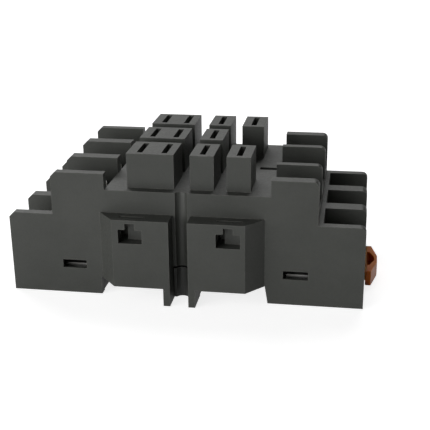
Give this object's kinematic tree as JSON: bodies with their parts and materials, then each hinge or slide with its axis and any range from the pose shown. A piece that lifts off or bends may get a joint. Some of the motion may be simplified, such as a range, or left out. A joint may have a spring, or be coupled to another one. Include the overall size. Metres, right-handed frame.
{
  "type": "relay socket",
  "caption": "Plug-in relay socket for a 35 mm rail: stepped dark plastic body with contact towers, screw terminals with captive clamp plates and an orange sprung rail clip.",
  "frame": {"origin": "middle of the rail gap in the underside, at the level of the feet, on the body's middle plane", "axes": "+X across the rail towards the rail clip, +Y along the rail, +Z out of the rail towards the relay"},
  "size_m": [0.0768, 0.0456, 0.0306],
  "materials": {
    "housing_plastic": "dark olive grey, fine spark-eroded grain",
    "base_plastic": "dark grey, fine grain",
    "clip_plastic": "amber orange, smooth",
    "contact_metal": "stamped, slightly dull",
    "clamp_metal": "zinc plated, stamped",
    "screw_metal": "zinc plated, turned"
  },
  "bodies": {
    "body": {"housing": "housing_plastic", "base_plate": "base_plastic", "contact_11": "contact_metal", "contact_12": "contact_metal", "contact_14": "contact_metal", "contact_21": "contact_metal", "contact_22": "contact_metal", "contact_24": "contact_metal", "contact_31": "contact_metal", "contact_32": "contact_metal", "contact_34": "contact_metal", "contact_a1": "contact_metal", "contact_a2": "contact_metal"},
    "rail_clip": {"rail_clip": "clip_plastic"},
    "clamp_11": {"clamp_11": "clamp_metal"},
    "screw_11": {"screw_11": "screw_metal"},
    "clamp_12": {"clamp_12": "clamp_metal"},
    "screw_12": {"screw_12": "screw_metal"},
    "clamp_14": {"clamp_14": "clamp_metal"},
    "screw_14": {"screw_14": "screw_metal"},
    "clamp_21": {"clamp_21": "clamp_metal"},
    "screw_21": {"screw_21": "screw_metal"},
    "clamp_22": {"clamp_22": "clamp_metal"},
    "screw_22": {"screw_22": "screw_metal"},
    "clamp_24": {"clamp_24": "clamp_metal"},
    "screw_24": {"screw_24": "screw_metal"},
    "clamp_31": {"clamp_31": "clamp_metal"},
    "screw_31": {"screw_31": "screw_metal"},
    "clamp_32": {"clamp_32": "clamp_metal"},
    "screw_32": {"screw_32": "screw_metal"},
    "clamp_34": {"clamp_34": "clamp_metal"},
    "screw_34": {"screw_34": "screw_metal"},
    "clamp_a1": {"clamp_a1": "clamp_metal"},
    "screw_a1": {"screw_a1": "screw_metal"},
    "clamp_a2": {"clamp_a2": "clamp_metal"},
    "screw_a2": {"screw_a2": "screw_metal"}
  },
  "joints": [
    {"name": "rail_clip_slide", "type": "slide", "parent": "body", "child": "rail_clip", "axis": [1, 0, 0], "range_m": [0, 0.003], "stiffness_N_per_m": 5000},
    {"name": "clamp_11_rise", "type": "slide", "parent": "body", "child": "clamp_11", "axis": [0, 0, 1], "range_m": [0, 0.0024]},
    {"name": "screw_11_turn", "type": "hinge", "parent": "clamp_11", "child": "screw_11", "pos_m": [0.0325, -0.0121, 0.0134], "axis": [0, 0, 1], "range_deg": [0, 1440]},
    {"name": "clamp_12_rise", "type": "slide", "parent": "body", "child": "clamp_12", "axis": [0, 0, 1], "range_m": [0, 0.0024]},
    {"name": "screw_12_turn", "type": "hinge", "parent": "clamp_12", "child": "screw_12", "pos_m": [-0.0206, -0.0121, 0.0225], "axis": [0, 0, 1], "range_deg": [0, 1440]},
    {"name": "clamp_14_rise", "type": "slide", "parent": "body", "child": "clamp_14", "axis": [0, 0, 1], "range_m": [0, 0.0024]},
    {"name": "screw_14_turn", "type": "hinge", "parent": "clamp_14", "child": "screw_14", "pos_m": [-0.0323, -0.0121, 0.0134], "axis": [0, 0, 1], "range_deg": [0, 1440]},
    {"name": "clamp_21_rise", "type": "slide", "parent": "body", "child": "clamp_21", "axis": [0, 0, 1], "range_m": [0, 0.0024]},
    {"name": "screw_21_turn", "type": "hinge", "parent": "clamp_21", "child": "screw_21", "pos_m": [0.0325, 0, 0.0134], "axis": [0, 0, 1], "range_deg": [0, 1440]},
    {"name": "clamp_22_rise", "type": "slide", "parent": "body", "child": "clamp_22", "axis": [0, 0, 1], "range_m": [0, 0.0024]},
    {"name": "screw_22_turn", "type": "hinge", "parent": "clamp_22", "child": "screw_22", "pos_m": [-0.0206, 0, 0.0225], "axis": [0, 0, 1], "range_deg": [0, 1440]},
    {"name": "clamp_24_rise", "type": "slide", "parent": "body", "child": "clamp_24", "axis": [0, 0, 1], "range_m": [0, 0.0024]},
    {"name": "screw_24_turn", "type": "hinge", "parent": "clamp_24", "child": "screw_24", "pos_m": [-0.0323, 0, 0.0134], "axis": [0, 0, 1], "range_deg": [0, 1440]},
    {"name": "clamp_31_rise", "type": "slide", "parent": "body", "child": "clamp_31", "axis": [0, 0, 1], "range_m": [0, 0.0024]},
    {"name": "screw_31_turn", "type": "hinge", "parent": "clamp_31", "child": "screw_31", "pos_m": [0.0325, 0.0121, 0.0134], "axis": [0, 0, 1], "range_deg": [0, 1440]},
    {"name": "clamp_32_rise", "type": "slide", "parent": "body", "child": "clamp_32", "axis": [0, 0, 1], "range_m": [0, 0.0024]},
    {"name": "screw_32_turn", "type": "hinge", "parent": "clamp_32", "child": "screw_32", "pos_m": [-0.0206, 0.0121, 0.0225], "axis": [0, 0, 1], "range_deg": [0, 1440]},
    {"name": "clamp_34_rise", "type": "slide", "parent": "body", "child": "clamp_34", "axis": [0, 0, 1], "range_m": [0, 0.0024]},
    {"name": "screw_34_turn", "type": "hinge", "parent": "clamp_34", "child": "screw_34", "pos_m": [-0.0323, 0.0121, 0.0134], "axis": [0, 0, 1], "range_deg": [0, 1440]},
    {"name": "clamp_a1_rise", "type": "slide", "parent": "body", "child": "clamp_a1", "axis": [0, 0, 1], "range_m": [0, 0.0024]},
    {"name": "screw_a1_turn", "type": "hinge", "parent": "clamp_a1", "child": "screw_a1", "pos_m": [0.0226, -0.0121, 0.0225], "axis": [0, 0, 1], "range_deg": [0, 1440]},
    {"name": "clamp_a2_rise", "type": "slide", "parent": "body", "child": "clamp_a2", "axis": [0, 0, 1], "range_m": [0, 0.0024]},
    {"name": "screw_a2_turn", "type": "hinge", "parent": "clamp_a2", "child": "screw_a2", "pos_m": [0.0226, 0.0121, 0.0225], "axis": [0, 0, 1], "range_deg": [0, 1440]}
  ],
  "couplings": [
    {"joint": "screw_11_turn", "follows": "clamp_11_rise", "rad_per_m": 10472},
    {"joint": "screw_12_turn", "follows": "clamp_12_rise", "rad_per_m": 10472},
    {"joint": "screw_14_turn", "follows": "clamp_14_rise", "rad_per_m": 10472},
    {"joint": "screw_21_turn", "follows": "clamp_21_rise", "rad_per_m": 10472},
    {"joint": "screw_22_turn", "follows": "clamp_22_rise", "rad_per_m": 10472},
    {"joint": "screw_24_turn", "follows": "clamp_24_rise", "rad_per_m": 10472},
    {"joint": "screw_31_turn", "follows": "clamp_31_rise", "rad_per_m": 10472},
    {"joint": "screw_32_turn", "follows": "clamp_32_rise", "rad_per_m": 10472},
    {"joint": "screw_34_turn", "follows": "clamp_34_rise", "rad_per_m": 10472},
    {"joint": "screw_a1_turn", "follows": "clamp_a1_rise", "rad_per_m": 10472},
    {"joint": "screw_a2_turn", "follows": "clamp_a2_rise", "rad_per_m": 10472}
  ]
}
